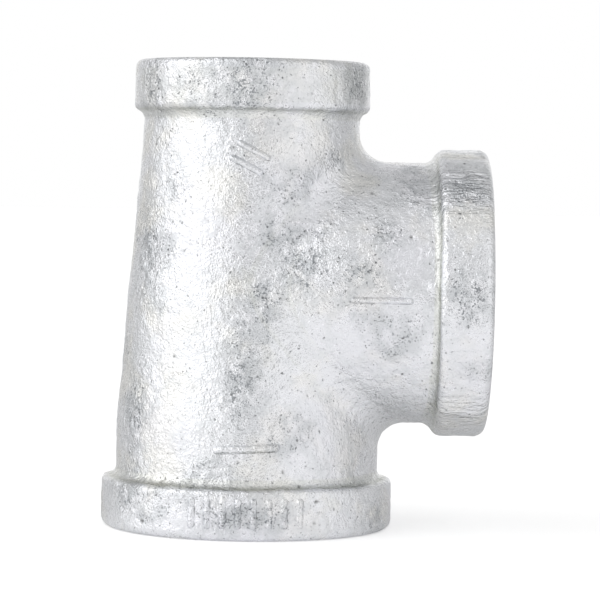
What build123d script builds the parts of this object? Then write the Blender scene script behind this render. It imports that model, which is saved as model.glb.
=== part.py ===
from build123d import *
from collections import namedtuple
import os

# Galvanised malleable-iron reducing tee, 1 in x 3/4 in run with a 1 in branch, NPT threads.
# The real fitting is one casting, tapped at its three mouths. It is modelled here as its zones,
# which meet face to face: the barrel with its branch neck, a reinforcing band round each mouth,
# the tapped sleeve inside each mouth, and the raised marks cast on the front.
# Frame: origin at the centre of the large run end's face, which the tee stands on. +Z runs up the
# run's axis to the small end and +X out along the branch. All lengths are in millimetres.

INCH = 25.4

# Centre-to-end lengths of a 1 x 3/4 x 1 class 150 reducing tee
LARGE_TO_CENTRE = 1.50 * INCH
SMALL_TO_CENTRE = 1.45 * INCH
BRANCH_TO_CENTRE = 1.50 * INCH
RUN_LENGTH = LARGE_TO_CENTRE + SMALL_TO_CENTRE

# A tapped hole of one pipe size. The taper thread is held as a plain wall at its mean minor radius.
PipeSize = namedtuple("PipeSize", "minor_r mouth_r mouth_depth length sleeve_r")
ONE_INCH = PipeSize(minor_r=14.60, mouth_r=17.00, mouth_depth=2.40, length=14.70, sleeve_r=17.40)
THREE_QUARTER = PipeSize(minor_r=11.65, mouth_r=13.60, mouth_depth=1.95, length=12.70, sleeve_r=13.90)

# A band round a mouth, as radii about the port's axis and depths back from its face. The band is
# full width to corner_depth, steps down to the neck at cove_depth, and ends at seam_depth.
Band = namedtuple("Band", "outer_r neck_r corner_depth cove_depth seam_depth edge_r corner_r cove_r")
LARGE_BAND = Band(23.35, 21.05, 7.70, 8.40, 10.00, edge_r=1.20, corner_r=1.10, cove_r=1.80)
SMALL_BAND = Band(18.86, 17.24, 7.50, 8.60, 10.00, edge_r=1.20, corner_r=1.30, cove_r=2.00)
BRANCH_BAND = Band(23.16, 21.00, 7.90, 9.30, 11.20, edge_r=1.60, corner_r=1.60, cove_r=2.80)

# A port: the centre of its face, the way out of its mouth, and a direction square to that
Port = namedtuple("Port", "face out radial size band")
LARGE_RUN = Port((0, 0, 0), (0, 0, -1), (1, 0, 0), ONE_INCH, LARGE_BAND)
SMALL_RUN = Port((0, 0, RUN_LENGTH), (0, 0, 1), (1, 0, 0), THREE_QUARTER, SMALL_BAND)
BRANCH = Port((BRANCH_TO_CENTRE, 0, LARGE_TO_CENTRE), (1, 0, 0), (0, 0, 1), ONE_INCH, BRANCH_BAND)
BRANCH_AXIS = Axis(BRANCH.face, BRANCH.out)

# Barrel: straight above the large band, then tapering up to the small band
LARGE_SEAM = LARGE_BAND.seam_depth
SMALL_SEAM = RUN_LENGTH - SMALL_BAND.seam_depth
TAPER_START = 16.70
BARREL_BLEND_R = 40.00
SMALL_SLEEVE_END = RUN_LENGTH - THREE_QUARTER.length

# Branch neck: it flares away from the run's axis, then runs straight to its band
BRANCH_SEAM = BRANCH_TO_CENTRE - BRANCH_BAND.seam_depth
NECK_ROOT_R = 18.00
NECK_ROOT_BORE_R = 14.40
NECK_FLARE_END = 14.00
NECK_BLEND_R = 40.00
CROTCH_R = 4.00

# Raised marks on the front: plain bars, proud of the skin and rooted in it before trimming
MARK_HEIGHT = 0.40
TICK_HEIGHT = 0.30
MARK_ROOT = 1.00
FRONT_REACH = 30.00


def section_of(port):
    """The half plane through a port's axis: local X is the radius, local Y is the way out."""
    normal = Vector(*port.radial).cross(Vector(*port.out))
    return Plane(origin=port.face, x_dir=port.radial, z_dir=normal)


def write(piece, name):
    """Label a finished sub-part and write it as its own STEP file."""
    piece.part.label = name
    export_step(piece.part, f"parts/{name}.step")


def barrel_r(height):
    """Outer radius of the barrel's taper at a height above the large run end's face."""
    share = (height - TAPER_START) / (SMALL_SEAM - TAPER_START)
    return LARGE_BAND.neck_r + share * (SMALL_BAND.neck_r - LARGE_BAND.neck_r)


def end_band(port, name):
    """The band round one mouth, with its rounded shoulder down to the neck behind it."""
    band = port.band
    bore_r = port.size.sleeve_r
    with BuildPart() as piece:
        with BuildSketch(section_of(port)):
            with BuildLine():
                FilletPolyline(
                    (bore_r, 0),
                    (band.outer_r, 0),
                    (band.outer_r, -band.corner_depth),
                    (band.neck_r, -band.cove_depth),
                    (band.neck_r, -band.seam_depth),
                    radius=[band.edge_r, band.corner_r, band.cove_r],
                )
                Polyline(
                    (band.neck_r, -band.seam_depth),
                    (bore_r, -band.seam_depth),
                    (bore_r, 0),
                )
            make_face()
        revolve(axis=Axis(port.face, port.out))
    write(piece, name)
    return piece


def tapped_sleeve(port, name):
    """The tapped metal inside one mouth: a chamfered lead-in, then the thread's wall."""
    size = port.size
    with BuildPart() as piece:
        with BuildSketch(section_of(port)):
            with BuildLine():
                Polyline(
                    (size.sleeve_r, 0),
                    (size.mouth_r, 0),
                    (size.minor_r, -size.mouth_depth),
                    (size.minor_r, -size.length),
                    (size.sleeve_r, -size.length),
                    close=True,
                )
            make_face()
        revolve(axis=Axis(port.face, port.out))
    write(piece, name)


def raised_bars(name, zone, bars, skin, axis):
    """Bars cast on the front of a zone: a drawing of them, the shell they fill, and its axis."""
    with BuildPart() as piece:
        with BuildSketch(Plane.XZ):
            add(bars)
        extrude(amount=FRONT_REACH)
        with BuildSketch(Plane.XZ):
            with BuildLine():
                Polyline(*skin, close=True)
            make_face()
        revolve(axis=axis, mode=Mode.INTERSECT)
        add(zone.part, mode=Mode.SUBTRACT)
    write(piece, name)


os.makedirs("parts", exist_ok=True)

# Centre body: the barrel between the run bands, the neck out to the branch band, and the
# T-shaped passage through both
with BuildPart() as centre_body:
    with BuildSketch(Plane.XZ):
        with BuildLine():
            FilletPolyline(
                (LARGE_BAND.neck_r, LARGE_SEAM),
                (LARGE_BAND.neck_r, TAPER_START),
                (SMALL_BAND.neck_r, SMALL_SEAM),
                radius=[BARREL_BLEND_R],
            )
            Polyline(
                (SMALL_BAND.neck_r, SMALL_SEAM),
                (0, SMALL_SEAM),
                (0, LARGE_SEAM),
                (LARGE_BAND.neck_r, LARGE_SEAM),
            )
        make_face()
    revolve(axis=Axis.Z)

    with BuildSketch(Plane.XZ):
        with BuildLine():
            FilletPolyline(
                (0, LARGE_TO_CENTRE + NECK_ROOT_R),
                (NECK_FLARE_END, LARGE_TO_CENTRE + BRANCH_BAND.neck_r),
                (BRANCH_SEAM, LARGE_TO_CENTRE + BRANCH_BAND.neck_r),
                radius=[NECK_BLEND_R],
            )
            Polyline(
                (BRANCH_SEAM, LARGE_TO_CENTRE + BRANCH_BAND.neck_r),
                (BRANCH_SEAM, LARGE_TO_CENTRE),
                (0, LARGE_TO_CENTRE),
                (0, LARGE_TO_CENTRE + NECK_ROOT_R),
            )
        make_face()
    revolve(axis=BRANCH_AXIS)
    fillet(centre_body.edges().filter_by(GeomType.BSPLINE), radius=CROTCH_R)

    with BuildSketch(Plane.XZ):
        with BuildLine():
            Polyline(
                (0, LARGE_SEAM),
                (ONE_INCH.sleeve_r, LARGE_SEAM),
                (ONE_INCH.sleeve_r, TAPER_START),
                (THREE_QUARTER.sleeve_r, SMALL_SLEEVE_END),
                (THREE_QUARTER.sleeve_r, SMALL_SEAM),
                (0, SMALL_SEAM),
                close=True,
            )
        make_face()
    revolve(axis=Axis.Z, mode=Mode.SUBTRACT)

    with BuildSketch(Plane.XZ):
        with BuildLine():
            Polyline(
                (0, LARGE_TO_CENTRE),
                (0, LARGE_TO_CENTRE + NECK_ROOT_BORE_R),
                (NECK_FLARE_END, LARGE_TO_CENTRE + ONE_INCH.sleeve_r),
                (BRANCH_SEAM, LARGE_TO_CENTRE + ONE_INCH.sleeve_r),
                (BRANCH_SEAM, LARGE_TO_CENTRE),
                close=True,
            )
        make_face()
    revolve(axis=BRANCH_AXIS, mode=Mode.SUBTRACT)
write(centre_body, "centre_body")

# Bands and tapped sleeves, one of each round every mouth
large_run_band = end_band(LARGE_RUN, "large_run_band")
end_band(SMALL_RUN, "small_run_band")
end_band(BRANCH, "branch_band")
tapped_sleeve(LARGE_RUN, "large_run_thread")
tapped_sleeve(SMALL_RUN, "small_run_thread")
tapped_sleeve(BRANCH, "branch_thread")

# Size mark by the large run end: one bar across the barrel, a little off level
with BuildSketch() as large_bar:
    with Locations(Location((0, 14.20), 3)):
        SlotOverall(10.30, 1.10)
raised_bars(
    "large_run_size_mark",
    centre_body,
    large_bar.sketch,
    [
        (LARGE_BAND.neck_r - MARK_ROOT, LARGE_SEAM),
        (LARGE_BAND.neck_r + MARK_HEIGHT, LARGE_SEAM),
        (LARGE_BAND.neck_r + MARK_HEIGHT, TAPER_START),
        (LARGE_BAND.neck_r - MARK_ROOT, TAPER_START),
    ],
    Axis.Z,
)

# Size mark by the small run end: two slanting bars on the taper
with BuildSketch() as small_bars:
    with Locations(Location((0.40, 60.50), -27), Location((-0.70, 58.20), -27)):
        SlotOverall(5.60, 0.80)
raised_bars(
    "small_run_size_mark",
    centre_body,
    small_bars.sketch,
    [
        (barrel_r(50) - MARK_ROOT, 50),
        (barrel_r(50) + MARK_HEIGHT, 50),
        (barrel_r(SMALL_SEAM) + MARK_HEIGHT, SMALL_SEAM),
        (barrel_r(SMALL_SEAM) - MARK_ROOT, SMALL_SEAM),
    ],
    Axis.Z,
)

# Size mark on the branch neck: one bar along it
with BuildSketch() as branch_bar:
    with Locations((20.60, 37.60)):
        SlotOverall(9.60, 0.80)
raised_bars(
    "branch_size_mark",
    centre_body,
    branch_bar.sketch,
    [
        (NECK_FLARE_END, LARGE_TO_CENTRE + BRANCH_BAND.neck_r - MARK_ROOT),
        (NECK_FLARE_END, LARGE_TO_CENTRE + BRANCH_BAND.neck_r + MARK_HEIGHT),
        (BRANCH_SEAM, LARGE_TO_CENTRE + BRANCH_BAND.neck_r + MARK_HEIGHT),
        (BRANCH_SEAM, LARGE_TO_CENTRE + BRANCH_BAND.neck_r - MARK_ROOT),
    ],
    BRANCH_AXIS,
)

# Batch ticks: a row of short upright bars on the large band
with BuildSketch() as tick_row:
    with Locations((0, 4.40)):
        with GridLocations(2.40, 1, 8, 1):
            SlotOverall(4.60, 0.90, rotation=90)
raised_bars(
    "batch_ticks",
    large_run_band,
    tick_row.sketch,
    [
        (LARGE_BAND.outer_r - MARK_ROOT, LARGE_BAND.edge_r),
        (LARGE_BAND.outer_r + TICK_HEIGHT, LARGE_BAND.edge_r),
        (LARGE_BAND.outer_r + TICK_HEIGHT, LARGE_BAND.corner_depth),
        (LARGE_BAND.outer_r - MARK_ROOT, LARGE_BAND.corner_depth),
    ],
    Axis.Z,
)
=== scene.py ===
import math
from collections import namedtuple

import bmesh
import bpy
import numpy as np
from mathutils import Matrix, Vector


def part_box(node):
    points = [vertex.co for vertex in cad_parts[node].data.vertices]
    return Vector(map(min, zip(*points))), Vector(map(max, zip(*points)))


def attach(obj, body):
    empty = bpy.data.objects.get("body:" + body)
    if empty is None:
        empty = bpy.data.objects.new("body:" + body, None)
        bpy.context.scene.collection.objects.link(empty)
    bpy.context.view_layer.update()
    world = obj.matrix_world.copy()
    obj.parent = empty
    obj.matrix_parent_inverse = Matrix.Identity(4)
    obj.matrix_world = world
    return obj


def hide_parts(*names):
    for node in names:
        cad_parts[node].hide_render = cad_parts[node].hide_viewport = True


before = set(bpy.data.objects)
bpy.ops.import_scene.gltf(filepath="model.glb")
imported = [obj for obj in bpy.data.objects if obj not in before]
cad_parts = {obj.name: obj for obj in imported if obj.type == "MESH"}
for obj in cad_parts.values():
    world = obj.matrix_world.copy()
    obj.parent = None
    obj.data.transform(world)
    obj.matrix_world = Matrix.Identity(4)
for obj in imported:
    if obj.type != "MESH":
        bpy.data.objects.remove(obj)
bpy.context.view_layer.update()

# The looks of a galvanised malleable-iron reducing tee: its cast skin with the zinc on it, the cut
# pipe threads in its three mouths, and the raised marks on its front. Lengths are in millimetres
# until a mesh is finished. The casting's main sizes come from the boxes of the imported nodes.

import openvdb
from mathutils import Matrix, Vector, noise

MM = 0.001


# ---------------------------------------------------------------- sizes from the frame

def box_mm(node):
    """The lowest and highest corner of a CAD node, in millimetres."""
    low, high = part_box(node)
    return np.array(low) / MM, np.array(high) / MM


_, large_high = box_mm("large_run_band")
small_low, small_high = box_mm("small_run_band")
branch_low, branch_high = box_mm("branch_band")
_, body_high = box_mm("centre_body")
_, large_thread_high = box_mm("large_run_thread")
small_thread_low, small_thread_high = box_mm("small_run_thread")
branch_thread_low, _ = box_mm("branch_thread")

RUN_TOP = small_high[2]
LARGE_SEAM = large_high[2]
SMALL_SEAM = small_low[2]
LARGE_BAND_R = large_high[0]
SMALL_BAND_R = small_high[0]
LARGE_SLEEVE_R = large_thread_high[0]
SMALL_SLEEVE_R = small_thread_high[0]
LARGE_SLEEVE_END = large_thread_high[2]
SMALL_SLEEVE_END = small_thread_low[2]
BRANCH_SLEEVE_END = branch_thread_low[0]
BRANCH_FACE = branch_high[0]
BRANCH_SEAM = branch_low[0]
BRANCH_BAND_R = branch_high[1]
BRANCH_Z = (branch_low[2] + branch_high[2]) / 2
BARREL_R = body_high[1]

# Details of the casting's outline that no box gives
SMALL_NECK_R = 17.24
BRANCH_NECK_R = 21.00
TAPER_START = 16.70
NECK_ROOT_R = 18.00
NECK_FLARE_END = 14.00
NECK_ROOT_BORE_R = 14.40

# How quickly the neck flares at its root: 1 is evenly, and 2 would be straight by its end
NECK_FLARE = 1.4

# Each band's shoulder: how far its step is from the face, and the radii of the step's corner, of
# the cove behind it and of the face's rim
Shoulder = namedtuple("Shoulder", "step corner_r cove_r rim_r")
LARGE = Shoulder(8.05, 0.85, 1.50, 1.20)
SMALL = Shoulder(7.90, 0.70, 1.70, 1.20)
BRANCH = Shoulder(8.40, 1.30, 2.00, 1.60)

# The branch band's shoulder is crisper on the front
FRONT_CORNER_R = 0.70
FRONT_COVE_R = 0.90

# Between the run and the branch: the crotch, and the slight blend on the front and back. Then the
# same where their bores meet.
CROTCH_R = 4.20
FRONT_BLEND_R = 1.40
BORE_CROTCH_R = 1.80
BORE_BLEND_R = 0.30

# The faces are set back a hair from the sleeves' own faces, and the bore is a little tight, so that
# the cut sleeves close every mouth
FACE_INSET = 0.04
BORE_OVERLAP = 0.20

# The grid that the skin is drawn from: its spacing, and how many cells it goes past the skin
VOXEL = 0.43
BORDER_VOXELS = 3


# ---------------------------------------------------------------- the casting as a distance

def mixed(first, second, share):
    """The first number at a share of 0, the second at 1, and evenly between."""
    return first + (second - first) * share


def fillet_union(a, b, radius):
    """Join two solids given as distances, with a cove of that radius where they meet."""
    inside = np.hypot(np.maximum(radius - a, 0), np.maximum(radius - b, 0))
    return np.maximum(radius, np.minimum(a, b)) - inside


def rounded_cut(a, b, radius):
    """Keep what two solids share, with the edge between them rounded to that radius."""
    return -fillet_union(-a, -b, radius)


def casting_distance(x, y, z):
    """Distance from the casting's skin, below 0 in the metal, before its relief."""
    run_r = np.hypot(x, y)
    branch_r = np.hypot(y, z - BRANCH_Z)
    barrel = run_r - np.interp(z, [TAPER_START, SMALL_SEAM], [BARREL_R, SMALL_NECK_R])
    large_band = rounded_cut(run_r - LARGE_BAND_R, z - LARGE.step, LARGE.corner_r)
    small_band = rounded_cut(run_r - SMALL_BAND_R, RUN_TOP - SMALL.step - z, SMALL.corner_r)
    run = fillet_union(barrel, large_band, LARGE.cove_r)
    run = fillet_union(run, small_band, SMALL.cove_r)
    run = rounded_cut(run, FACE_INSET - z, LARGE.rim_r)
    run = rounded_cut(run, z - RUN_TOP + FACE_INSET, SMALL.rim_r)

    flare = np.clip(x / NECK_FLARE_END, 0, 1)
    flare *= NECK_FLARE - (NECK_FLARE - 1) * flare
    neck = branch_r - mixed(NECK_ROOT_R, BRANCH_NECK_R, flare)
    frontal = np.clip(-y / np.maximum(branch_r, 1), 0, 1) ** 2
    branch_band = rounded_cut(
        branch_r - BRANCH_BAND_R,
        BRANCH_FACE - BRANCH.step - x,
        mixed(BRANCH.corner_r, FRONT_CORNER_R, frontal),
    )
    branch = fillet_union(neck, branch_band, mixed(BRANCH.cove_r, FRONT_COVE_R, frontal))
    branch = rounded_cut(branch, x - BRANCH_FACE + FACE_INSET, BRANCH.rim_r)
    branch = np.maximum(branch, -x)

    # The crotch is full round where the two skins meet square, and slight where they run together
    square = 1 - y * y / np.maximum(run_r * branch_r, 1)
    outside = fillet_union(run, branch, mixed(FRONT_BLEND_R, CROTCH_R, square))

    run_bore = run_r - np.interp(
        z,
        [TAPER_START, SMALL_SLEEVE_END],
        [LARGE_SLEEVE_R - BORE_OVERLAP, SMALL_SLEEVE_R - BORE_OVERLAP],
    )
    branch_bore_r = np.interp(
        x, [0, NECK_FLARE_END], [NECK_ROOT_BORE_R, LARGE_SLEEVE_R - BORE_OVERLAP])
    branch_bore = np.maximum(branch_r - branch_bore_r, -x)
    hollow = fillet_union(run_bore, branch_bore, mixed(BORE_BLEND_R, BORE_CROTCH_R, square))
    return np.maximum(outside, -hollow)


def casting_normal(points, step=0.05):
    """Outward directions of the casting's distance at points."""
    slopes = []
    for axis in range(3):
        ahead, behind = points.copy(), points.copy()
        ahead[:, axis] += step
        behind[:, axis] -= step
        slopes.append(casting_distance(*ahead.T) - casting_distance(*behind.T))
    normal = np.stack(slopes, axis=1)
    return normal / np.maximum(np.linalg.norm(normal, axis=1, keepdims=True), 1e-9)


def casting_bend(points, step=0.2):
    """How sharply the casting's skin bends, as 1 over its radius, and below 0 in a cove."""
    total = -6 * casting_distance(*points.T)
    for axis in range(3):
        for way in (-step, step):
            moved = points.copy()
            moved[:, axis] += way
            total += casting_distance(*moved.T)
    return total / step ** 2


def casting_surface():
    """Points and quads of the whole casting's skin, on the exact distance's zero."""
    low = np.array([-LARGE_BAND_R, -LARGE_BAND_R, 0]) - BORDER_VOXELS * VOXEL
    high = np.array([BRANCH_FACE, LARGE_BAND_R, RUN_TOP]) + BORDER_VOXELS * VOXEL
    axes = [np.arange(a, b, VOXEL) for a, b in zip(low, high)]
    field = casting_distance(*np.meshgrid(*axes, indexing="ij"))
    grid = openvdb.FloatGrid()
    reach = BORDER_VOXELS * VOXEL
    grid.background = reach
    grid.copyFromArray(np.clip(field, -reach, reach).astype(np.float32))
    points, quads = grid.convertToQuads(0.0)
    points = np.asarray(points, float) * VOXEL + low
    for _ in range(2):
        off = np.clip(casting_distance(*points.T), -0.5 * VOXEL, 0.5 * VOXEL)
        points -= casting_normal(points) * off[:, None]
    return points, np.asarray(quads)


# ---------------------------------------------------------------- the relief of the cast skin

# Coarse, dross-covered places on the skin, as a centre and how far each reaches along x, y and z
ROUGH_PLACES = [
    ((-15.3, -9.5, 44.5), (2.4, 4.0, 7.5)),
    ((-17.2, -10.0, 19.0), (2.6, 4.0, 6.0)),
    ((8.6, -19.0, 42.2), (5.2, 4.0, 4.2)),
    ((2.3, -20.0, 37.0), (3.0, 4.0, 4.5)),
    ((-1.2, -20.5, 25.0), (2.8, 4.0, 8.0)),
    ((17.1, -20.0, 41.9), (4.0, 4.0, 2.4)),
    ((21.2, -20.0, 47.9), (2.6, 4.0, 3.0)),
    ((5.0, -19.0, 47.5), (4.5, 4.0, 3.0)),
    ((33.5, -15.5, 54.5), (4.0, 5.0, 3.2)),
    ((33.8, -23.0, 38.5), (3.5, 3.0, 4.5)),
    ((0.0, -23.0, 4.0), (9.0, 3.0, 2.8)),
    ((-18.5, -14.0, 6.5), (2.4, 4.0, 2.6)),
    ((-15.5, -11.0, 70.5), (2.4, 4.0, 4.5)),
    ((-0.8, -18.8, 71.0), (5.4, 3.0, 6.0)),
    ((16.5, -9.5, 71.0), (3.0, 5.0, 4.5)),
    ((9.0, 19.0, 33.0), (6.0, 5.0, 8.0)),
    ((-9.0, 18.0, 55.0), (4.0, 5.0, 9.0)),
    ((30.0, 20.0, 30.0), (5.0, 5.0, 6.0)),
]

# Places where the zinc froze dull
FROSTED_PLACES = [
    ((20.0, -21.0, 30.0), (11.0, 8.0, 12.0)),
    ((12.0, -18.0, 17.0), (10.0, 8.0, 9.0)),
    ((0.0, -22.0, 2.0), (16.0, 12.0, 5.0)),
    ((-4.0, 18.0, 25.0), (12.0, 8.0, 14.0)),
    ((8.0, -17.0, 56.0), (7.0, 6.0, 7.0)),
    ((24.0, -20.0, 44.0), (6.0, 6.0, 6.0)),
    ((34.0, -22.0, 27.0), (5.0, 8.0, 9.0)),
]

# Where the zinc ran in ripples round the branch band
RIPPLE_PLACES = [
    ((34.0, -15.0, 54.5), (5.5, 7.0, 4.5)),
    ((34.0, 14.0, 55.5), (5.5, 6.0, 4.0)),
    ((34.0, -13.0, 20.5), (5.5, 6.0, 3.0)),
]
RIPPLE_SIZE = 0.62
RIPPLE_LENGTH = 3.10
RIPPLE_HEIGHT = 0.22

# Fainter dross everywhere: its patches' size, how sharp their borders are, how much of the skin
# stays clean, and how coarse it gets at most
FAINT_SIZE, FAINT_SHARPNESS, FAINT_CLEAN, FAINT_MOST = 8.0, 2.2, 0.30, 0.50

# Dull zinc: how dull the named places are, and the size of the patches in between
FROST_MOST = 0.8
FROST_SIZE = 10.0

# The skin's swells, from broad to fine: size, height on clean zinc, height added on dross, and seed
SWELLS = [(12.0, 0.22, 0, 2), (4.0, 0.07, 0, 3), (1.5, 0.05, 0.10, 4), (0.70, 0.065, 0.13, 5)]

# Blowholes and lumps in the skin: centre, radius and height, which is below 0 for a hole
SPOTS = [
    ((11.0, -20.6, 6.2), 0.42, -0.20),
    ((11.5, -20.4, 4.4), 0.34, -0.13),
    ((10.7, -20.7, 2.9), 0.36, -0.14),
    ((2.5, -22.0, 8.7), 0.42, -0.18),
    ((8.2, -20.0, 8.5), 0.36, -0.20),
    ((5.7, -20.2, 10.7), 0.36, -0.18),
    ((23.3, -12.0, 16.8), 0.40, -0.22),
    ((-2.7, -17.2, 60.8), 0.45, -0.12),
    ((28.6, -21.4, 39.9), 0.90, 0.42),
    ((29.2, -21.0, 44.6), 0.60, 0.16),
    ((29.0, -17.0, 51.5), 0.60, 0.16),
    ((29.2, -15.2, 53.6), 0.50, 0.14),
    ((25.2, -20.6, 38.4), 0.80, 0.22),
    ((-16.2, -9.2, 38.5), 0.80, 0.24),
    ((-16.3, -9.0, 42.0), 0.70, 0.20),
    ((-16.0, -9.6, 45.6), 0.80, 0.22),
    ((-16.0, -9.4, 50.2), 0.70, 0.18),
    ((-17.9, -10.2, 16.6), 0.80, 0.24),
    ((-18.4, -9.8, 20.4), 0.70, 0.18),
]

# More of them at random places: how many, and the least and most of their radius and height
SCATTERED_PITS = 110
PIT_RADIUS, PIT_HEIGHT = (0.32, 0.46), (-0.20, -0.08)
SCATTERED_LUMPS = 60
LUMP_RADIUS, LUMP_HEIGHT = (0.4, 0.8), (0.05, 0.14)
SCATTER_SEED = 41

# Beads of zinc that froze in a run down the left of the barrel, and how far they stray from it
BEAD_RUN = [(-16.1, -9.3, 55.0), (-16.6, -9.3, 33.0)]
BEADS = 34
BEAD_SPREAD = 0.7
BEAD_RADIUS, BEAD_HEIGHT = (0.35, 0.6), (0.12, 0.30)

# Flux residue and painted crease shade along the foot of each band: how far from the band's step,
# how wide, how thick, and how much that varies over what length
FOOT_DEPTH, FOOT_REACH = 0.12, 0.26
FOOT_THICKNESS, FOOT_VARIATION, FOOT_SIZE = 0.75, 0.6, 2.2

# Where the relief fades out: how far from the end faces, and, round the cut sleeves in the bores,
# how far past the sleeve's wall and end it is gone, and over what length it comes back
FACE_FADE = (0.02, 0.9)
SLEEVE_SIDE, SIDE_FADE = 1, 0.8
SLEEVE_PAST, PAST_FADE = 1.5, 1.4


def noise_at(points, size, seed):
    """Smooth noise between -1 and 1 at points, with features of about that size."""
    places = points / size + np.array([17.3, -9.1, 4.7]) * seed
    return np.array([noise.noise(place) for place in places.tolist()])


def nearness(points, places):
    """From 0 far from every place to 1 at the middle of one."""
    near = np.zeros(len(points))
    for centre, reach in places:
        off = (points - centre) / reach
        near = np.maximum(near, np.exp(-(off ** 2).sum(axis=1)))
    return near


def roughness_at(points):
    """How coarse the skin is, from 0 on smooth zinc to 1 on dross."""
    faint = noise_at(points, FAINT_SIZE, 1) * FAINT_SHARPNESS - FAINT_CLEAN
    return np.maximum(np.clip(faint, 0, FAINT_MOST), nearness(points, ROUGH_PLACES))


def scattered_spots(points):
    """More small pits and lumps, at random places on the skin."""
    rng = np.random.default_rng(SCATTER_SEED)
    spots = []
    for index in rng.choice(len(points), SCATTERED_PITS + SCATTERED_LUMPS, replace=False):
        hole = len(spots) < SCATTERED_PITS
        radius = rng.uniform(*(PIT_RADIUS if hole else LUMP_RADIUS))
        height = rng.uniform(*(PIT_HEIGHT if hole else LUMP_HEIGHT))
        spots.append((points[index], radius, height))
    top, bottom = np.array(BEAD_RUN)
    for share in rng.uniform(0, 1, BEADS):
        middle = top + (bottom - top) * share + rng.normal(0, BEAD_SPREAD, 3)
        spots.append((middle, rng.uniform(*BEAD_RADIUS), rng.uniform(*BEAD_HEIGHT)))
    return spots


def smooth_share(value, low, high):
    """From 0 at low to 1 at high, with soft ends."""
    share = np.clip((value - low) / (high - low), 0, 1)
    return share * share * (3 - 2 * share)


def cast_share(points):
    """1 on the cast skin, falling to 0 on the end faces and where the sleeves sit in the bores."""
    x, y, z = points.T
    run_r = np.hypot(x, y)
    branch_r = np.hypot(y, z - BRANCH_Z)
    from_face = np.minimum(np.minimum(z, RUN_TOP - z), BRANCH_FACE - x) - FACE_INSET
    share = smooth_share(from_face, *FACE_FADE)
    sleeves = [
        (LARGE_SLEEVE_R - run_r, LARGE_SLEEVE_END - z),
        (SMALL_SLEEVE_R - run_r, z - SMALL_SLEEVE_END),
        (LARGE_SLEEVE_R - branch_r, x - BRANCH_SLEEVE_END),
    ]
    for within_wall, within_end in sleeves:
        beside = smooth_share(within_wall + SLEEVE_SIDE, 0, SIDE_FADE)
        share *= 1 - beside * smooth_share(within_end + SLEEVE_PAST, 0, PAST_FADE)
    return share


def foot_residue_and_shade_at(points):
    """How thick the flux residue and painted crease shade lie along the foot of each band, from 0 to 1.
    """
    x, z = points[:, 0], points[:, 2]
    from_foot = np.minimum.reduce([
        np.abs(z - LARGE.step - FOOT_DEPTH),
        np.abs(RUN_TOP - SMALL.step - FOOT_DEPTH - z),
        np.abs(BRANCH_FACE - BRANCH.step - FOOT_DEPTH - x),
    ])
    thickness = FOOT_THICKNESS + FOOT_VARIATION * noise_at(points, FOOT_SIZE, 9)
    return (thickness * np.exp(-(from_foot / FOOT_REACH) ** 2)).clip(0, 1)


def relief_at(points, spots):
    """How far the cast skin stands off its plain form at points, and the state of the zinc there."""
    rough = roughness_at(points)
    height = np.zeros(len(points))
    for size, plain, added, seed in SWELLS:
        height += (plain + added * rough) * noise_at(points, size, seed)
    stretch = np.array([RIPPLE_LENGTH, RIPPLE_SIZE, RIPPLE_SIZE])
    ripples = nearness(points, RIPPLE_PLACES)
    height += RIPPLE_HEIGHT * ripples * noise_at(points / stretch, 1.0, 6)
    spotted = np.zeros(len(points))
    for centre, radius, lift in spots:
        off = ((points - centre) ** 2).sum(axis=1) / radius ** 2
        spotted += lift * np.exp(-off ** 1.5)
    share = cast_share(points)
    frost = FROST_MOST * nearness(points, FROSTED_PLACES)
    frost = np.maximum(frost, noise_at(points, FROST_SIZE, 7))
    marks = {
        "rough": rough,
        "pit_and_foot_shade": -spotted.clip(-1, 0) * share,
        "frost": frost.clip(0, 1),
        "ripple": ripples,
        "foot_residue_and_shade": foot_residue_and_shade_at(points),
    }
    return (height + spotted) * share, marks


# ---------------------------------------------------------------- the casting's pieces

# Where the bands meet the barrel and the neck: a point of each seam and the way out to its mouth
SEAMS = {
    "large_run_band": (Vector((0, 0, LARGE_SEAM)), Vector((0, 0, -1))),
    "small_run_band": (Vector((0, 0, SMALL_SEAM)), Vector((0, 0, 1))),
    "branch_band": (Vector((BRANCH_SEAM, 0, BRANCH_Z)), Vector((1, 0, 0))),
}

# How near a point is to a seam to be on it, and to be moved onto it
SEAM_REACH = 1e-4
SEAM_SNAP = 0.03

# How much of an outer corner's bend counts as a rubbed edge
EDGE_SHARE = 0.7


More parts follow.
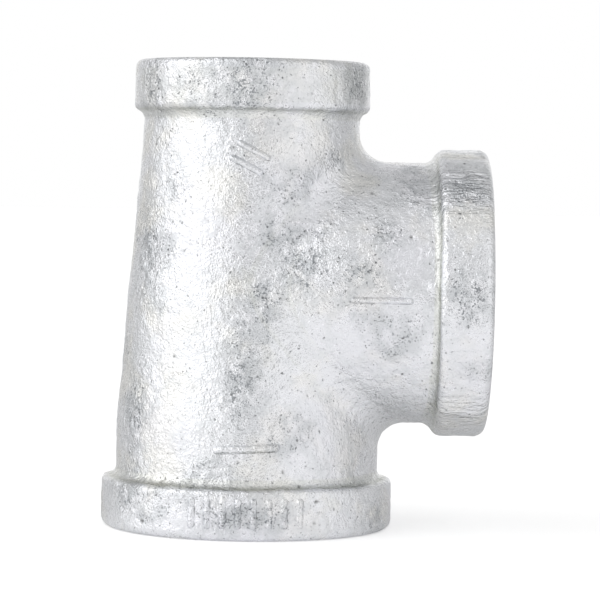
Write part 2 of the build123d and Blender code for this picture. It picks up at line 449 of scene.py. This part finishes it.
def whole_skin():
    """The casting's mesh in millimetres, seams cut but still in one, with its relief, and its spots."""
    points, quads = casting_surface()
    for middle, way_out in SEAMS.values():
        off = (points - middle) @ np.array(way_out)
        close = np.abs(off) < SEAM_SNAP
        points[close] -= off[close, None] * np.array(way_out)
    mesh = bpy.data.meshes.new("whole_skin")
    mesh.from_pydata(points.tolist(), [], quads.tolist())
    bm = bmesh.new()
    bm.from_mesh(mesh)
    for middle, way_out in SEAMS.values():
        bmesh.ops.bisect_plane(
            bm, geom=bm.verts[:] + bm.edges[:] + bm.faces[:], plane_co=middle, plane_no=way_out,
            dist=SEAM_REACH / 10)
    bm.to_mesh(mesh)
    bm.free()

    points = np.empty(len(mesh.vertices) * 3)
    mesh.vertices.foreach_get("co", points)
    points = points.reshape(-1, 3)
    normals = casting_normal(points)
    spots = SPOTS + scattered_spots(points)
    relief, marks = relief_at(points, spots)
    bend = casting_bend(points)
    shift = normals * relief[:, None]
    for middle, way_out in SEAMS.values():
        on_seam = np.abs((points - middle) @ np.array(way_out)) < SEAM_REACH
        shift[on_seam] *= 1 - np.abs(np.array(way_out))
    mesh.vertices.foreach_set("co", (points + shift).ravel())
    mesh.update()
    marks |= {"hollow": (-bend).clip(0, 1), "edge": (EDGE_SHARE * bend).clip(0, 1)}
    for name, values in marks.items():
        layer = mesh.attributes.new(name, "FLOAT", "POINT")
        layer.data.foreach_set("value", values.astype(np.float32))
    facing = np.empty(len(mesh.vertices) * 3, np.float32)
    mesh.vertex_normals.foreach_get("vector", facing)
    layer = mesh.attributes.new("skin_normal", "FLOAT_VECTOR", "POINT")
    layer.data.foreach_set("vector", facing)
    return mesh, spots


def side_of(place):
    """Which piece of the casting a place belongs to."""
    for name, (middle, way_out) in SEAMS.items():
        if (place - middle).dot(way_out) > 0:
            return name
    return "centre_body"


def casting_piece(skin, name, piece_name):
    """One closed piece of the casting, capped along its seams."""
    bm = bmesh.new()
    bm.from_mesh(skin)
    others = [face for face in bm.faces if side_of(face.calc_center_median()) != name]
    bmesh.ops.delete(bm, geom=others, context="FACES")
    for middle, way_out in SEAMS.values():
        rim = [
            edge for edge in bm.edges
            if edge.is_boundary
            and all(abs((vert.co - middle).dot(way_out)) < 2 * SEAM_REACH for vert in edge.verts)
        ]
        if rim:
            bmesh.ops.triangle_fill(bm, edges=rim, use_beauty=True, normal=way_out)
    bmesh.ops.recalc_face_normals(bm, faces=bm.faces)
    mesh = bpy.data.meshes.new(piece_name)
    bm.to_mesh(mesh)
    bm.free()
    facing = np.empty(len(mesh.vertices) * 3, np.float32)
    mesh.attributes["skin_normal"].data.foreach_get("vector", facing)
    mesh.attributes.remove(mesh.attributes["skin_normal"])
    mesh.polygons.foreach_set("use_smooth", [True] * len(mesh.polygons))
    mesh.transform(Matrix.Scale(MM, 4))
    mesh.normals_split_custom_set_from_vertices(facing.reshape(-1, 3))
    return add_piece(mesh, name)


def add_piece(mesh, node):
    """Put a finished mesh in the scene in place of its CAD node."""
    piece = bpy.data.objects.new(mesh.name, mesh)
    bpy.context.scene.collection.objects.link(piece)
    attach(piece, "root")
    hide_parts(node)
    return piece


# ---------------------------------------------------------------- raised marks

MARK_HEIGHT = 0.50
TICK_HEIGHT = 0.30

# How much wider a bar is at its foot, how far its edge lies under the skin, how deep it is rooted,
# how domed its top is, the length of its cells, how many points it has across, and its painted shade
# below
MARK_FOOT = 0.38
MARK_SINK = 0.12
MARK_ROOT = 0.45
MARK_DOME = 0.8
MARK_CELL = 0.14
MARK_ROWS = 15
MARK_FOOT_SHADE = 0.15
FRONT_STEPS = 80

# Each mark's height, and its strokes on the front: middle x and z, length, width, and turn in
# degrees
MARK_STROKES = {
    "large_run_size_mark": (MARK_HEIGHT, [(0, 14.20, 10.30, 1.10, 3)]),
    "small_run_size_mark": (
        MARK_HEIGHT, [(0.40, 60.50, 5.60, 0.80, -27), (-0.70, 58.20, 5.60, 0.80, -27)]),
    "branch_size_mark": (MARK_HEIGHT, [(20.60, 37.60, 9.60, 0.80, 0)]),
    "batch_ticks": (TICK_HEIGHT, [(2.4 * (i - 3.5), 4.40, 4.60, 0.90, 90) for i in range(8)]),
}


def front_skin(x, z):
    """Points on the front of the plain casting at these x and z, reached in steps from outside."""
    y = np.full_like(x, -LARGE_BAND_R - 1)
    for _ in range(FRONT_STEPS):
        y += casting_distance(x, y, z)
    return np.stack([x, y, z], axis=1)


def stroke_mesh(stroke, height, spots):
    """Points and faces of one raised bar, which swells softly out of the relief of the skin."""
    middle_x, middle_z, length, width, turn = stroke
    radius = width / 2 + MARK_FOOT / 2
    straight = (length - width) / 2
    along_count = int(length / MARK_CELL)
    across_count = MARK_ROWS
    along = np.sin(np.linspace(-math.pi / 2, math.pi / 2, along_count)) * (straight + radius)
    over = np.maximum(np.abs(along) - straight, 0)
    half_width = np.sqrt(np.maximum(radius ** 2 - over ** 2, 0))
    across = half_width[:, None] * np.linspace(-1, 1, across_count)
    from_spine = np.hypot(over[:, None], across)
    along = np.repeat(along[:, None], across_count, axis=1)
    cos, sin = math.cos(math.radians(turn)), math.sin(math.radians(turn))
    x = (middle_x + along * cos - across * sin).ravel()
    z = (middle_z + along * sin + across * cos).ravel()
    skin = front_skin(x, z)
    normals = casting_normal(skin)
    relief, marks = relief_at(skin, spots)
    from_spine = from_spine.ravel() / radius
    rise = (height + MARK_SINK) * np.cos(from_spine.clip(0, 1) * math.pi / 2) ** MARK_DOME
    top = skin + normals * (relief + rise - MARK_SINK)[:, None]
    bottom = skin - normals * MARK_ROOT
    count = len(skin)
    faces = []
    for i in range(along_count - 1):
        for j in range(across_count - 1):
            a = i * across_count + j
            b = a + across_count
            faces.append((a, a + 1, b + 1, b))
            faces.append((count + a, count + b, count + b + 1, count + a + 1))
    last = (along_count - 1) * across_count
    outline = list(range(0, last, across_count))
    outline += list(range(last, last + across_count - 1))
    outline += list(range(last + across_count - 1, across_count - 1, -across_count))
    outline += list(range(across_count - 1, 0, -1))
    for here, following in zip(outline, outline[1:] + outline[:1]):
        faces.append((here, following, count + following, count + here))

    # The top is rubbed bright, and painted shade lies in broken lines along the lower foot
    marks |= {"hollow": np.zeros(count), "edge": 1 - smooth_share(from_spine, 0.3, 0.8)}
    lower_foot = smooth_share(from_spine, 0.60, 0.85)
    lower_foot *= smooth_share(-across.ravel(), 0.2 * radius, 0.5 * radius)
    marks["pit_and_foot_shade"] += MARK_FOOT_SHADE * lower_foot * smooth_share(noise_at(skin, 1.1, 8), -0.6, 0.1)
    return np.concatenate([top, bottom]), faces, marks


def mark_piece(node, height, strokes, spots):
    """All the strokes of one mark, as one piece of closed bars."""
    points, faces, layers = [], [], {}
    count = 0
    for stroke in strokes:
        stroke_points, stroke_faces, marks = stroke_mesh(stroke, height, spots)
        points.append(stroke_points)
        faces += [tuple(count + i for i in face) for face in stroke_faces]
        count += len(stroke_points)
        for name, values in marks.items():
            layers.setdefault(name, []).append(np.concatenate([values, values]))
    mesh = bpy.data.meshes.new(node + "_zinc")
    mesh.from_pydata(np.concatenate(points).tolist(), [], faces)
    for name, values in layers.items():
        layer = mesh.attributes.new(name, "FLOAT", "POINT")
        layer.data.foreach_set("value", np.concatenate(values).astype(np.float32))
    bm = bmesh.new()
    bm.from_mesh(mesh)
    bmesh.ops.remove_doubles(bm, verts=bm.verts, dist=1e-4)
    bmesh.ops.recalc_face_normals(bm, faces=bm.faces)
    bm.to_mesh(mesh)
    bm.free()
    mesh.polygons.foreach_set("use_smooth", [True] * len(mesh.polygons))
    mesh.transform(Matrix.Scale(MM, 4))
    return add_piece(mesh, node)


# ---------------------------------------------------------------- pipe threads

ONE_INCH = {
    "pitch": 2.209, "minor_r": 14.85, "height": 1.767, "length": 14.70,
    "mouth_r": 17.00, "mouth_end_r": 14.60, "mouth_depth": 2.40, "sleeve_r": LARGE_SLEEVE_R,
}
THREE_QUARTER = {
    "pitch": 1.814, "minor_r": 11.83, "height": 1.451, "length": 12.70,
    "mouth_r": 13.60, "mouth_end_r": 11.65, "mouth_depth": 1.95, "sleeve_r": SMALL_SLEEVE_R,
}
TAPER = 1 / 32
THREAD_STEPS = 240
SHARP_DEGREES = 28

# One turn of the thread along its depth: share of the pitch, and 1 at the root or 0 at the crest
THREAD_FORM = [(0.0, 0.0), (0.05, 0.0), (0.475, 1.0), (0.525, 1.0)]
RUN_OUT_TURNS = 2.2


def thread_piece(node, face, inward, across, size):
    """A closed sleeve whose inside is a right-hand taper pipe thread with a chamfered mouth."""
    inward, across = Vector(inward), Vector(across)
    upright = inward.cross(across)
    pitch, length = size["pitch"], size["length"]
    rows = len(THREAD_FORM)
    chamfer = (size["mouth_r"] - size["mouth_end_r"]) / size["mouth_depth"]
    end_r = size["minor_r"] - TAPER * length

    # The sleeve's plain rings, as depth and radius, going round its section from the inner end
    rings = {
        "end": (length, end_r),
        "far": (length, size["sleeve_r"]),
        "near": (0, size["sleeve_r"]),
        "mouth": (0, size["mouth_r"]),
    }
    points, keys = [], {}

    def vertex(step, depth, radius, key):
        if key not in keys:
            turn = 2 * math.pi * step / THREAD_STEPS
            way = across * math.cos(turn) + upright * math.sin(turn)
            keys[key] = len(points)
            points.append(Vector(face) + inward * depth + way * radius)
        return keys[key]

    def ring_vertices(step):
        return [vertex(step, *place, (name, step)) for name, place in rings.items()]

    def thread_vertex(step, row):
        if step == THREAD_STEPS:
            step, row = 0, row + rows
        share, root = THREAD_FORM[row % rows]
        depth = pitch * (row // rows + share + step / THREAD_STEPS)
        if depth <= 0:
            return vertex(step, *rings["mouth"], ("mouth", step))
        if depth >= length:
            return vertex(step, *rings["end"], ("end", step))
        run_out = min(1, (length - depth) / (RUN_OUT_TURNS * pitch))
        radius = size["minor_r"] - TAPER * depth + root * run_out * size["height"]
        radius = max(radius, size["mouth_r"] - chamfer * depth)
        return vertex(step, depth, radius, (step, row))

    faces = []
    for step in range(THREAD_STEPS):
        for row in range(-rows - 1, int(rows * (length / pitch + 1))):
            corners = [
                thread_vertex(step, row), thread_vertex(step + 1, row),
                thread_vertex(step + 1, row + 1), thread_vertex(step, row + 1),
            ]
            unique = [c for i, c in enumerate(corners) if c != corners[i - 1]]
            if len(unique) > 2:
                faces.append(unique)
        here = ring_vertices(step)
        ahead = ring_vertices((step + 1) % THREAD_STEPS)
        for k in range(len(rings) - 1):
            faces.append((here[k], ahead[k], ahead[k + 1], here[k + 1]))

    mesh = bpy.data.meshes.new(node + "_cut")
    mesh.from_pydata([list(p) for p in points], [], faces)
    bm = bmesh.new()
    bm.from_mesh(mesh)
    bmesh.ops.recalc_face_normals(bm, faces=bm.faces)
    bm.to_mesh(mesh)
    bm.free()
    mesh.polygons.foreach_set("use_smooth", [True] * len(mesh.polygons))
    mesh.set_sharp_from_angle(angle=math.radians(SHARP_DEGREES))
    mesh.transform(Matrix.Scale(MM, 4))
    return add_piece(mesh, node)


# ---------------------------------------------------------------- shader helpers

def add_node(tree, kind, inputs=None, **settings):
    """Add a shader node, set its properties, and set or link its inputs by name or number."""
    made = tree.nodes.new(kind)
    for name, value in settings.items():
        setattr(made, name, value)
    for name, value in (inputs or {}).items():
        if isinstance(value, bpy.types.NodeSocket):
            tree.links.new(value, made.inputs[name])
        else:
            made.inputs[name].default_value = value
    return made


def math_node(tree, operation, a, b=0.0):
    """One sum of two numbers or sockets."""
    return add_node(tree, "ShaderNodeMath", {0: a, 1: b}, operation=operation).outputs[0]


def scaled(tree, value, by):
    """A number or socket times another."""
    return math_node(tree, "MULTIPLY", value, by)


def noise_node(tree, place, scale, detail=3.0, roughness=0.5, distortion=0.0, output="Fac"):
    """A noise pattern: scale is how many features lie along a millimetre."""
    return add_node(
        tree,
        "ShaderNodeTexNoise",
        {"Vector": place, "Scale": scale, "Detail": detail, "Roughness": roughness,
         "Distortion": distortion},
    ).outputs[output]


def range_node(tree, value, low, high, to_low=0.0, to_high=1.0):
    """Spread a value's stretch from low to high over another, with soft ends."""
    return add_node(
        tree,
        "ShaderNodeMapRange",
        {"Value": value, "From Min": low, "From Max": high, "To Min": to_low, "To Max": to_high},
        interpolation_type="SMOOTHSTEP",
    ).outputs["Result"]


def mix_colour(tree, share, first, second):
    """Blend two colours or colour sockets."""
    return add_node(
        tree, "ShaderNodeMix", {0: share, 6: first, 7: second}, data_type="RGBA").outputs[2]


def new_material(name):
    """An empty material: its tree, its Principled shader and object coordinates in millimetres."""
    material = bpy.data.materials.new(name)
    material.use_nodes = True
    tree = material.node_tree
    tree.nodes.clear()
    shader = add_node(tree, "ShaderNodeBsdfPrincipled")
    output = add_node(tree, "ShaderNodeOutputMaterial")
    tree.links.new(shader.outputs["BSDF"], output.inputs["Surface"])
    where = add_node(tree, "ShaderNodeTexCoord").outputs["Object"]
    place = add_node(
        tree, "ShaderNodeVectorMath", {0: where, "Scale": 1 / MM}, operation="SCALE").outputs[0]
    return material, tree, shader, place


def add_bump(tree, shader, height):
    """Shade a height given in millimetres."""
    bump = add_node(tree, "ShaderNodeBump", {"Height": height, "Strength": 1.0, "Distance": MM})
    tree.links.new(bump.outputs["Normal"], shader.inputs["Normal"])


# ---------------------------------------------------------------- materials

# The zinc, from clean to smudged, what lies on it, and painted shade in its hollows
COOL_ZINC = (0.875, 0.885, 0.91, 1)
WARM_ZINC = (0.885, 0.88, 0.86, 1)
LILAC_ZINC = (0.87, 0.868, 0.92, 1)
DULL_ZINC = (0.77, 0.79, 0.81, 1)
SMUDGED_ZINC = (0.55, 0.57, 0.59, 1)
# Flux film in the coves, which also darkens them as painted shade
COVE_FLUX_AND_SHADE = (0.70, 0.71, 0.63, 1)
# Flux residue at each band's foot, also a painted shade line in that crease
FOOT_FLUX_AND_SHADE = (0.40, 0.41, 0.35, 1)
DROSS_GRAIN = (0.29, 0.305, 0.325, 1)
DROSS_STAIN = (0.34, 0.35, 0.36, 1)
SPECK = (0.18, 0.185, 0.19, 1)
# Painted shade in the pits and under the marks
PIT_SHADE = (0.15, 0.15, 0.145, 1)

# The bare iron of the threads
CUT_IRON = (0.42, 0.42, 0.425, 1)
OILY_IRON = (0.30, 0.285, 0.265, 1)
TOOL_MARK = (0.55, 0.55, 0.55, 1)


def attribute(tree, name):
    """A number stored on the mesh's points."""
    return add_node(tree, "ShaderNodeAttribute", attribute_name=name).outputs["Fac"]


def zinc_patterns(tree, place):
    """The numbers and noises that the zinc's colour, gloss and height share, by name."""
    rough = attribute(tree, "rough")
    torn = noise_node(tree, place, 0.55, 4.0, 0.65, 0.6)
    return {
        "rough": rough,
        "broken": scaled(tree, rough, range_node(tree, torn, 0.38, 0.60, 0.30, 1.05)),
        "frost": attribute(tree, "frost"),
        "patches": noise_node(tree, place, 0.11, 3.0, 0.55),
        "clouds": noise_node(tree, place, 0.42, 4.0, 0.6),
        "grain": noise_node(tree, place, 1.25, 2.0, 0.55, 0.8),
        "fine": noise_node(tree, place, 3.3, 2.0, 0.6),
    }


def clean_zinc(tree, pattern):
    """A cool silver that is warm where it is thick, lilac where it froze dull, and smudged on dross."""
    warm = range_node(tree, pattern["patches"], 0.48, 0.64)
    colour = mix_colour(tree, warm, COOL_ZINC, WARM_ZINC)
    colour = mix_colour(tree, scaled(tree, pattern["frost"], 0.75), colour, LILAC_ZINC)
    dull = range_node(tree, pattern["clouds"], 0.42, 0.70, 0.0, 0.5)
    colour = mix_colour(tree, dull, colour, DULL_ZINC)
    smudge = scaled(tree, range_node(tree, pattern["clouds"], 0.35, 0.6), pattern["rough"])
    return mix_colour(tree, scaled(tree, smudge, 0.85), colour, SMUDGED_ZINC)


def with_flux_and_shade(tree, pattern, colour):
    """Grey-green flux with painted shade: a film darkening every cove, and a line along the foot of
    each band.
    """
    cove_film_and_shade = scaled(tree, range_node(tree, attribute(tree, "hollow"), 0.15, 0.8), 0.40)
    cove_film_and_shade = scaled(tree, cove_film_and_shade, range_node(tree, pattern["clouds"], 0.25, 0.6, 0.55, 1.0))
    colour = mix_colour(tree, cove_film_and_shade, colour, COVE_FLUX_AND_SHADE)
    return mix_colour(tree, scaled(tree, attribute(tree, "foot_residue_and_shade"), 0.60), colour, FOOT_FLUX_AND_SHADE)


def dross_grains(tree, pattern):
    """How much of the zinc is dark grains, which crowd together on the rough places."""
    grains = math_node(tree, "ADD", scaled(tree, pattern["grain"], 0.6), pattern["fine"])
    crowd = range_node(tree, pattern["broken"], 0.05, 0.9, 0.96, 0.79)
    dark = range_node(tree, math_node(tree, "SUBTRACT", grains, crowd), 0.0, 0.12)
    return scaled(tree, dark, range_node(tree, pattern["broken"], 0.0, 0.7, 0.20, 0.90))


def dross_stains(tree, place, pattern):
    """How much of the zinc is larger stains, nearly all on the rough places."""
    stain = noise_node(tree, place, 0.9, 5.0, 0.65, 1.2)
    least = range_node(tree, pattern["rough"], 0.1, 0.9, 0.76, 0.60)
    return range_node(tree, math_node(tree, "SUBTRACT", stain, least), 0.0, 0.08, 0.0, 0.55)


def speck_layer(tree, place, scale, largest, share):
    """Specks of many sizes, at most one to a cell: share is how many of the cells hold one."""
    cells = add_node(tree, "ShaderNodeTexVoronoi", {"Vector": place, "Scale": scale})
    chance = add_node(tree, "ShaderNodeSeparateColor", {0: cells.outputs["Color"]})
    size = range_node(tree, chance.outputs[0], 0.0, 1.0, 0.25 * largest, largest)
    from_middle = math_node(tree, "DIVIDE", cells.outputs["Distance"], size)
    speck = range_node(tree, from_middle, 0.50, 1.0, 0.95, 0.0)
    present = math_node(tree, "LESS_THAN", chance.outputs[1], share)
    depth = range_node(tree, chance.outputs[2], 0.0, 1.0, 0.35, 1.0)
    return scaled(tree, scaled(tree, speck, present), depth)


def all_specks(tree, place, pattern):
    """Fine dark specks all over, which crowd on the rough places, with finer dust between them."""
    wander = noise_node(tree, place, 2.6, 2.0, output="Color")
    bent = add_node(
        tree,
        "ShaderNodeVectorMath",
        {0: wander, 1: (0.7, 0.7, 0.7), 2: place},
        operation="MULTIPLY_ADD",
    ).outputs[0]
    broken = pattern["broken"]
    specks = speck_layer(tree, bent, 1.55, 0.36, range_node(tree, broken, 0.0, 0.8, 0.24, 1.0))
    dust = speck_layer(tree, bent, 3.1, 0.46, range_node(tree, broken, 0.0, 0.7, 0.10, 1.0))
    return math_node(tree, "MAXIMUM", specks, scaled(tree, dust, 0.85))


def zinc_gloss(tree, pattern, grains):
    """Bright where smooth, dull in clouds and frosted places, rubbed smooth on the outer edges."""
    gloss = range_node(tree, pattern["clouds"], 0.35, 0.70, 0.15, 0.27)
    gloss = math_node(tree, "ADD", gloss, scaled(tree, pattern["frost"], 0.20))
    gloss = math_node(tree, "ADD", gloss, scaled(tree, grains, 0.25))
    return math_node(tree, "SUBTRACT", gloss, scaled(tree, attribute(tree, "edge"), 0.06))


def zinc_height(tree, place, pattern, specks):
    """The fine relief of the zinc in millimetres: swells, sand, grain, ripples and sunk specks."""
    rough = pattern["rough"]
    swell = scaled(tree, pattern["clouds"], 0.06)
    sand = scaled(tree, pattern["fine"], range_node(tree, rough, 0.0, 1.0, 0.10, 0.16))
    coarse = scaled(tree, pattern["grain"], range_node(tree, rough, 0.0, 1.0, 0.20, 0.31))
    height = math_node(tree, "ADD", swell, math_node(tree, "ADD", sand, coarse))
    drawn = add_node(
        tree,
        "ShaderNodeVectorMath",
        {0: place, 1: (0.22, 1.0, 1.0)},
        operation="MULTIPLY",
    ).outputs[0]
    waves = noise_node(tree, drawn, 1.15, 2.0, 0.5, 0.9)
    waves = scaled(tree, waves, attribute(tree, "ripple"))
    height = math_node(tree, "ADD", height, scaled(tree, waves, 0.9))
    return math_node(tree, "SUBTRACT", height, scaled(tree, specks, 0.05))


def zinc_material():
    """Hot-dip galvanised cast iron: bright zinc over a sandy skin, with dull and dark patches."""
    material, tree, shader, place = new_material("zinc")
    shader.inputs["Metallic"].default_value = 1.0
    pattern = zinc_patterns(tree, place)
    grains = dross_grains(tree, pattern)
    specks = all_specks(tree, place, pattern)
    # Painted shade: darker the deeper each pit, and in broken lines under the marks' lower feet
    pit_shade = range_node(tree, attribute(tree, "pit_and_foot_shade"), 0.03, 0.20, 0.0, 0.92)

    colour = with_flux_and_shade(tree, pattern, clean_zinc(tree, pattern))
    colour = mix_colour(tree, grains, colour, DROSS_GRAIN)
    colour = mix_colour(tree, dross_stains(tree, place, pattern), colour, DROSS_STAIN)
    colour = mix_colour(tree, specks, colour, SPECK)
    colour = mix_colour(tree, pit_shade, colour, PIT_SHADE)
    tree.links.new(colour, shader.inputs["Base Color"])
    tree.links.new(zinc_gloss(tree, pattern, grains), shader.inputs["Roughness"])
    add_bump(tree, shader, zinc_height(tree, place, pattern, specks))
    return material


def iron_material(name, along):
    """Bare cut iron in a thread: darker, oily, with fine tool marks round the axis."""
    material, tree, shader, place = new_material(name)
    shader.inputs["Metallic"].default_value = 1.0
    parts = add_node(tree, "ShaderNodeSeparateXYZ", {0: place})
    if along == "z":
        depth, across, up = parts.outputs["Z"], parts.outputs["X"], parts.outputs["Y"]
    else:
        depth, across = parts.outputs["X"], parts.outputs["Y"]
        up = math_node(tree, "SUBTRACT", parts.outputs["Z"], float(BRANCH_Z))
    squares = math_node(tree, "ADD", scaled(tree, across, across), scaled(tree, up, up))
    radius = math_node(tree, "SQRT", squares)

    # Round the axis the pattern barely changes, so that it draws out into lines
    turned = add_node(
        tree,
        "ShaderNodeCombineXYZ",
        {"X": depth, "Y": radius, "Z": scaled(tree, across, 0.04)},
    ).outputs[0]
    lines = noise_node(tree, turned, 7.0, 2.0, 0.6)
    stain = noise_node(tree, place, 0.35, 4.0, 0.6)
    colour = mix_colour(tree, range_node(tree, stain, 0.38, 0.66), CUT_IRON, OILY_IRON)
    colour = mix_colour(tree, range_node(tree, lines, 0.35, 0.7, 0.0, 0.4), colour, TOOL_MARK)
    tree.links.new(colour, shader.inputs["Base Color"])
    tree.links.new(range_node(tree, stain, 0.3, 0.7, 0.26, 0.44), shader.inputs["Roughness"])
    add_bump(tree, shader, scaled(tree, lines, 0.03))
    return material


# ---------------------------------------------------------------- building the tee

skin, spots = whole_skin()
zinc = zinc_material()
for node in ["centre_body", *SEAMS]:
    casting_piece(skin, node, node + "_zinc").data.materials.append(zinc)
for node, (height, strokes) in MARK_STROKES.items():
    mark_piece(node, height, strokes, spots).data.materials.append(zinc)
bpy.data.meshes.remove(skin)

run_iron = iron_material("run_thread_iron", "z")
branch_iron = iron_material("branch_thread_iron", "x")

# Each mouth's face, the way in, a direction across it, its pipe size and its metal
MOUTHS = {
    "large_run_thread": ((0, 0, 0), (0, 0, 1), (1, 0, 0), ONE_INCH, run_iron),
    "small_run_thread": ((0, 0, RUN_TOP), (0, 0, -1), (1, 0, 0), THREE_QUARTER, run_iron),
    "branch_thread": ((BRANCH_FACE, 0, BRANCH_Z), (-1, 0, 0), (0, 0, 1), ONE_INCH, branch_iron),
}
for node, (face, inward, across, size, iron) in MOUTHS.items():
    thread_piece(node, face, inward, across, size).data.materials.append(iron)


# ---------------------------------------------------------------- studio

# Soft lights all round, as directions from the tee: degrees round from the camera's side towards
# its right, degrees up, half width of the full light, half width to nothing, and strength, which
# is below 0 for a card that keeps light off
SOFTBOXES = {
    "left": (-70, 18, 26, 54, 0.66),
    "right": (52, 20, 16, 44, 0.34),
    "front": (-35, 0, 30, 115, 0.27),
    "behind": (178, 2, 8, 42, 0.55),
    "dark_card": (-2, 9, 8, 30, -0.47),
}
ROOM_LIGHT = 0.55

# The floor's own glow as the camera sees it, and as the metal mirrors it. The mirrored glow falls
# along y, from full in front of the tee to nothing behind it.
FLOOR_LIGHT = 0.45
MIRRORED_FLOOR_LIGHT = 0.30
FLOOR_LIT_FROM, FLOOR_LIT_TO = -45.0, 30.0
FLOOR_RADIUS = 4.0
FLOOR_PAINT = (0.82, 0.82, 0.82, 1)
WHITE = (1, 1, 1, 1)

# The camera: its place in millimetres, how far it is turned left, tipped and rolled in degrees,
# its lens, and its sensor's width
CAMERA_PLACE = (1.601, -470.147, 56.732)
CAMERA_YAW, CAMERA_PITCH, CAMERA_ROLL = -0.803, -2.452, -0.972
CAMERA_LENS = 174.63
CAMERA_SENSOR = 36


def studio_world():
    """A dim plain room with broad soft lights, and a white ground behind for the camera."""
    world = bpy.data.worlds.new("studio")
    bpy.context.scene.world = world
    world.use_nodes = True
    tree = world.node_tree
    tree.nodes.clear()
    way = add_node(tree, "ShaderNodeTexCoord").outputs["Generated"]
    total = ROOM_LIGHT
    for turn, rise, core, edge, strength in SOFTBOXES.values():
        a, b = math.radians(turn), math.radians(rise)
        aim = (math.sin(a) * math.cos(b), -math.cos(a) * math.cos(b), math.sin(b))
        facing = add_node(
            tree, "ShaderNodeVectorMath", {0: way, 1: aim}, operation="DOT_PRODUCT").outputs["Value"]
        glow = range_node(
            tree, facing, math.cos(math.radians(edge)), math.cos(math.radians(core)), 0.0, strength)
        total = math_node(tree, "ADD", glow, total)
    light = add_node(tree, "ShaderNodeBackground", {"Color": WHITE, "Strength": total})
    ground = add_node(tree, "ShaderNodeBackground", {"Color": WHITE, "Strength": 1.0})
    seen = add_node(tree, "ShaderNodeLightPath").outputs["Is Camera Ray"]
    shown = add_node(
        tree, "ShaderNodeMixShader", {0: seen, 1: light.outputs[0], 2: ground.outputs[0]})
    output = add_node(tree, "ShaderNodeOutputWorld")
    tree.links.new(shown.outputs[0], output.inputs["Surface"])


def studio_floor():
    """A wide pale floor under the tee."""
    bm = bmesh.new()
    bmesh.ops.create_circle(bm, cap_ends=True, segments=96, radius=FLOOR_RADIUS)
    flat = bpy.data.meshes.new("floor")
    bm.to_mesh(flat)
    bm.free()
    floor = bpy.data.objects.new("floor", flat)
    bpy.context.scene.collection.objects.link(floor)
    material, tree, shader, place = new_material("floor_paint")
    shader.inputs["Base Color"].default_value = FLOOR_PAINT
    shader.inputs["Roughness"].default_value = 0.9
    shader.inputs["Specular IOR Level"].default_value = 0.1
    shader.inputs["Emission Color"].default_value = WHITE

    # Seen straight it is near white; what the metal mirrors is lit only in front of the tee
    seen = add_node(tree, "ShaderNodeLightPath").outputs["Is Camera Ray"]
    ahead = add_node(tree, "ShaderNodeSeparateXYZ", {0: place}).outputs["Y"]
    lit = range_node(tree, ahead, FLOOR_LIT_FROM, FLOOR_LIT_TO, MIRRORED_FLOOR_LIGHT, 0.0)
    glow = add_node(tree, "ShaderNodeMix", {0: seen, 2: lit, 3: FLOOR_LIGHT}).outputs[0]
    tree.links.new(glow, shader.inputs["Emission Strength"])
    floor.data.materials.append(material)


def studio_camera():
    """A long lens at the front, a little above the tee's middle."""
    data = bpy.data.cameras.new("camera")
    data.sensor_width = CAMERA_SENSOR
    data.lens = CAMERA_LENS
    camera = bpy.data.objects.new("camera", data)
    bpy.context.scene.collection.objects.link(camera)
    yaw = Matrix.Rotation(math.radians(CAMERA_YAW), 4, "Z")
    pitch = Matrix.Rotation(math.radians(CAMERA_PITCH), 4, "X")
    roll = Matrix.Rotation(math.radians(CAMERA_ROLL), 4, "Y")
    level = Matrix.Rotation(math.radians(90), 4, "X")
    place = Matrix.Translation(Vector(CAMERA_PLACE) * MM)
    camera.matrix_world = place @ (yaw @ pitch @ roll) @ level
    bpy.context.scene.camera = camera


studio_world()
studio_floor()
studio_camera()
bpy.context.scene.view_settings.view_transform = "Standard"
